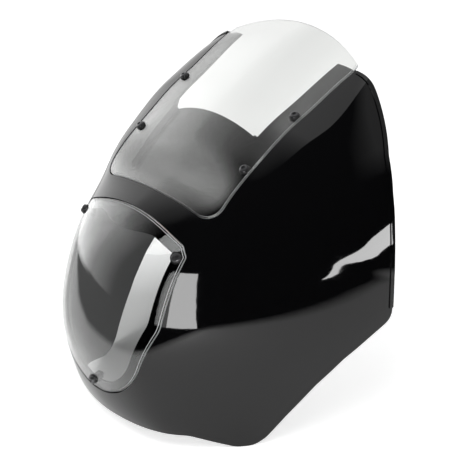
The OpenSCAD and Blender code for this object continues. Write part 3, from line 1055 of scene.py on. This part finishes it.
strength = math_node(tree, "ADD", math_node(tree, "MULTIPLY", plain, SOFT_LIGHT),
                     math_node(tree, "MULTIPLY", mirrored, room))
strength = math_node(tree, "MAXIMUM", strength, straight)
tree.links.new(strength, background.inputs["Strength"])
background.inputs["Color"].default_value = (1, 1, 1, 1)
print("world", world.name, len(tree.nodes), "nodes")

# %% [markdown]
# ## Lamp and cards
#
# Softboxes light a gloss black part by being seen in it. One soft lamp overhead gives the diffuse light,
# and it stays out of reflections. The bright shapes on the right side come from cards that only reflections
# can see: each stands where its mirror image falls on the photo's highlight, and fades at its borders
# as a cloth softbox does.


# %% Lamp
def way_to(azimuth, elevation):
    """The direction from the part to a viewer, azimuth from the front to the right, both in degrees."""
    a, e = np.radians(azimuth), np.radians(elevation)
    return Vector((np.sin(a) * np.cos(e), -np.cos(a) * np.cos(e), np.sin(e)))


def facing_back(way):
    """The turn of a lamp or a camera that looks back along a direction."""
    return way.to_track_quat("Z", "Y").to_matrix().to_4x4()


LAMP_AIM = Vector((0.1, -0.15, 0.0))
LAMP_WAY = way_to(10, 62)
LAMP_DISTANCE = 2.0
lamp_data = bpy.data.lights.new("overhead", "AREA")
lamp_data.shape = "RECTANGLE"
lamp_data.size, lamp_data.size_y = 1.6, 1.2
lamp_data.energy = 22
lamp = bpy.data.objects.new("overhead", lamp_data)
lamp.matrix_world = Matrix.Translation(LAMP_AIM + LAMP_DISTANCE * LAMP_WAY) @ facing_back(LAMP_WAY)
lamp.visible_glossy = False
bpy.context.scene.collection.objects.link(lamp)
print("lamp", lamp.name, lamp_data.energy, "W")


# %% Cards
def card(name, corners, strength, fade_across=0.01, fade_up=0.01):
    """A bright card that only reflections can see. Its light fades towards its left and right borders and its
    far border, each over the given share of its size."""
    mesh = bpy.data.meshes.new(name)
    mesh.from_pydata(corners, [], [(0, 1, 2, 3)])
    mesh.uv_layers.new(name="card").data.foreach_set("uv", [0, 0, 1, 0, 1, 1, 0, 1])
    material = bpy.data.materials.new(name)
    material.use_nodes = True
    tree = material.node_tree
    tree.nodes.remove(tree.nodes["Principled BSDF"])
    place = tree.nodes.new("ShaderNodeUVMap")
    place.uv_map = "card"
    split = tree.nodes.new("ShaderNodeSeparateXYZ")
    tree.links.new(place.outputs[0], split.inputs[0])
    u, v = split.outputs["X"], split.outputs["Y"]
    side = math_node(tree, "MINIMUM", u, math_node(tree, "SUBTRACT", 1.0, u))
    side = math_node(tree, "DIVIDE", side, fade_across, clamp=True)
    far = math_node(tree, "DIVIDE", math_node(tree, "SUBTRACT", 1.0, v), fade_up, clamp=True)
    light = math_node(tree, "MULTIPLY", math_node(tree, "MULTIPLY", side, far), strength)
    glow = tree.nodes.new("ShaderNodeEmission")
    tree.links.new(light, glow.inputs["Strength"])
    seen = tree.nodes.new("ShaderNodeAddShader")
    tree.links.new(tree.nodes.new("ShaderNodeBsdfTransparent").outputs[0], seen.inputs[0])
    tree.links.new(glow.outputs[0], seen.inputs[1])
    path = tree.nodes.new("ShaderNodeLightPath")
    mirrored = math_node(tree, "MINIMUM", path.outputs["Glossy Depth"], 1.0)
    two_shaders(tree, mirrored, tree.nodes.new("ShaderNodeBsdfTransparent"), seen)
    mesh.materials.append(material)
    obj = bpy.data.objects.new(name, mesh)
    bpy.context.scene.collection.objects.link(obj)
    return obj


cards = [
    card("softbox", [(0.501, -0.642, 0.234), (0.581, -0.569, 0.171),
                     (0.613, -0.517, -0.124), (0.526, -0.645, -0.085)], 10),
    card("low_card", [(0.922, -0.10, -0.129), (1.371, 0.432, -0.129),
                      (0.872, 0.282, -0.129), (0.841, 0.081, -0.129)], 12),
    card("overhead_card", [(0.4, -0.75, 1.72), (0.4, 0.9, 1.72),
                           (-1.1, 0.9, 1.72), (-1.1, -0.75, 1.72)], 0.8, 0.3, 0.4),
    card("side_card", [(0.437, -0.70, 0.284), (0.501, -0.642, 0.234),
                       (0.526, -0.645, -0.085), (0.456, -0.747, -0.054)], 1.5),
    card("left_card", [(-2.2, -1.9, -0.12), (-2.2, 0.7, -0.12),
                       (-2.2, 0.7, 2.3), (-2.2, -1.9, 2.3)], 1.9, 0.3, 0.95),
]
print("cards", [c.name for c in cards])

# %% [markdown]
# ## Camera
#
# The camera stands about where the photographer's did, as far as a fit of screw places and edges tells: to
# the right of the front, a little above, about 1.5 m away. From there a long lens fills the picture, and the
# near headlight cover isn't drawn too large against the rear edge.

# %% Camera
CAMERA_PLACE = Vector((1.02405, -0.93284, 0.67264))
CAMERA_AZIMUTH = 49.7225
CAMERA_ELEVATION = 24.4458
SENSOR_WIDTH = 36.0
# the fitted focal length over the picture's width, both in pixels
FOCAL_TO_WIDTH = 1200 / 466

camera_data = bpy.data.cameras.new("camera")
camera_data.sensor_width = SENSOR_WIDTH
camera_data.lens = FOCAL_TO_WIDTH * SENSOR_WIDTH
camera = bpy.data.objects.new("camera", camera_data)
camera_way = way_to(CAMERA_AZIMUTH, CAMERA_ELEVATION)
camera.matrix_world = Matrix.Translation(CAMERA_PLACE) @ facing_back(camera_way)
bpy.context.scene.collection.objects.link(camera)
bpy.context.scene.camera = camera
bpy.context.scene.view_settings.view_transform = "Standard"
print("camera", round(camera_data.lens, 1), "mm lens")
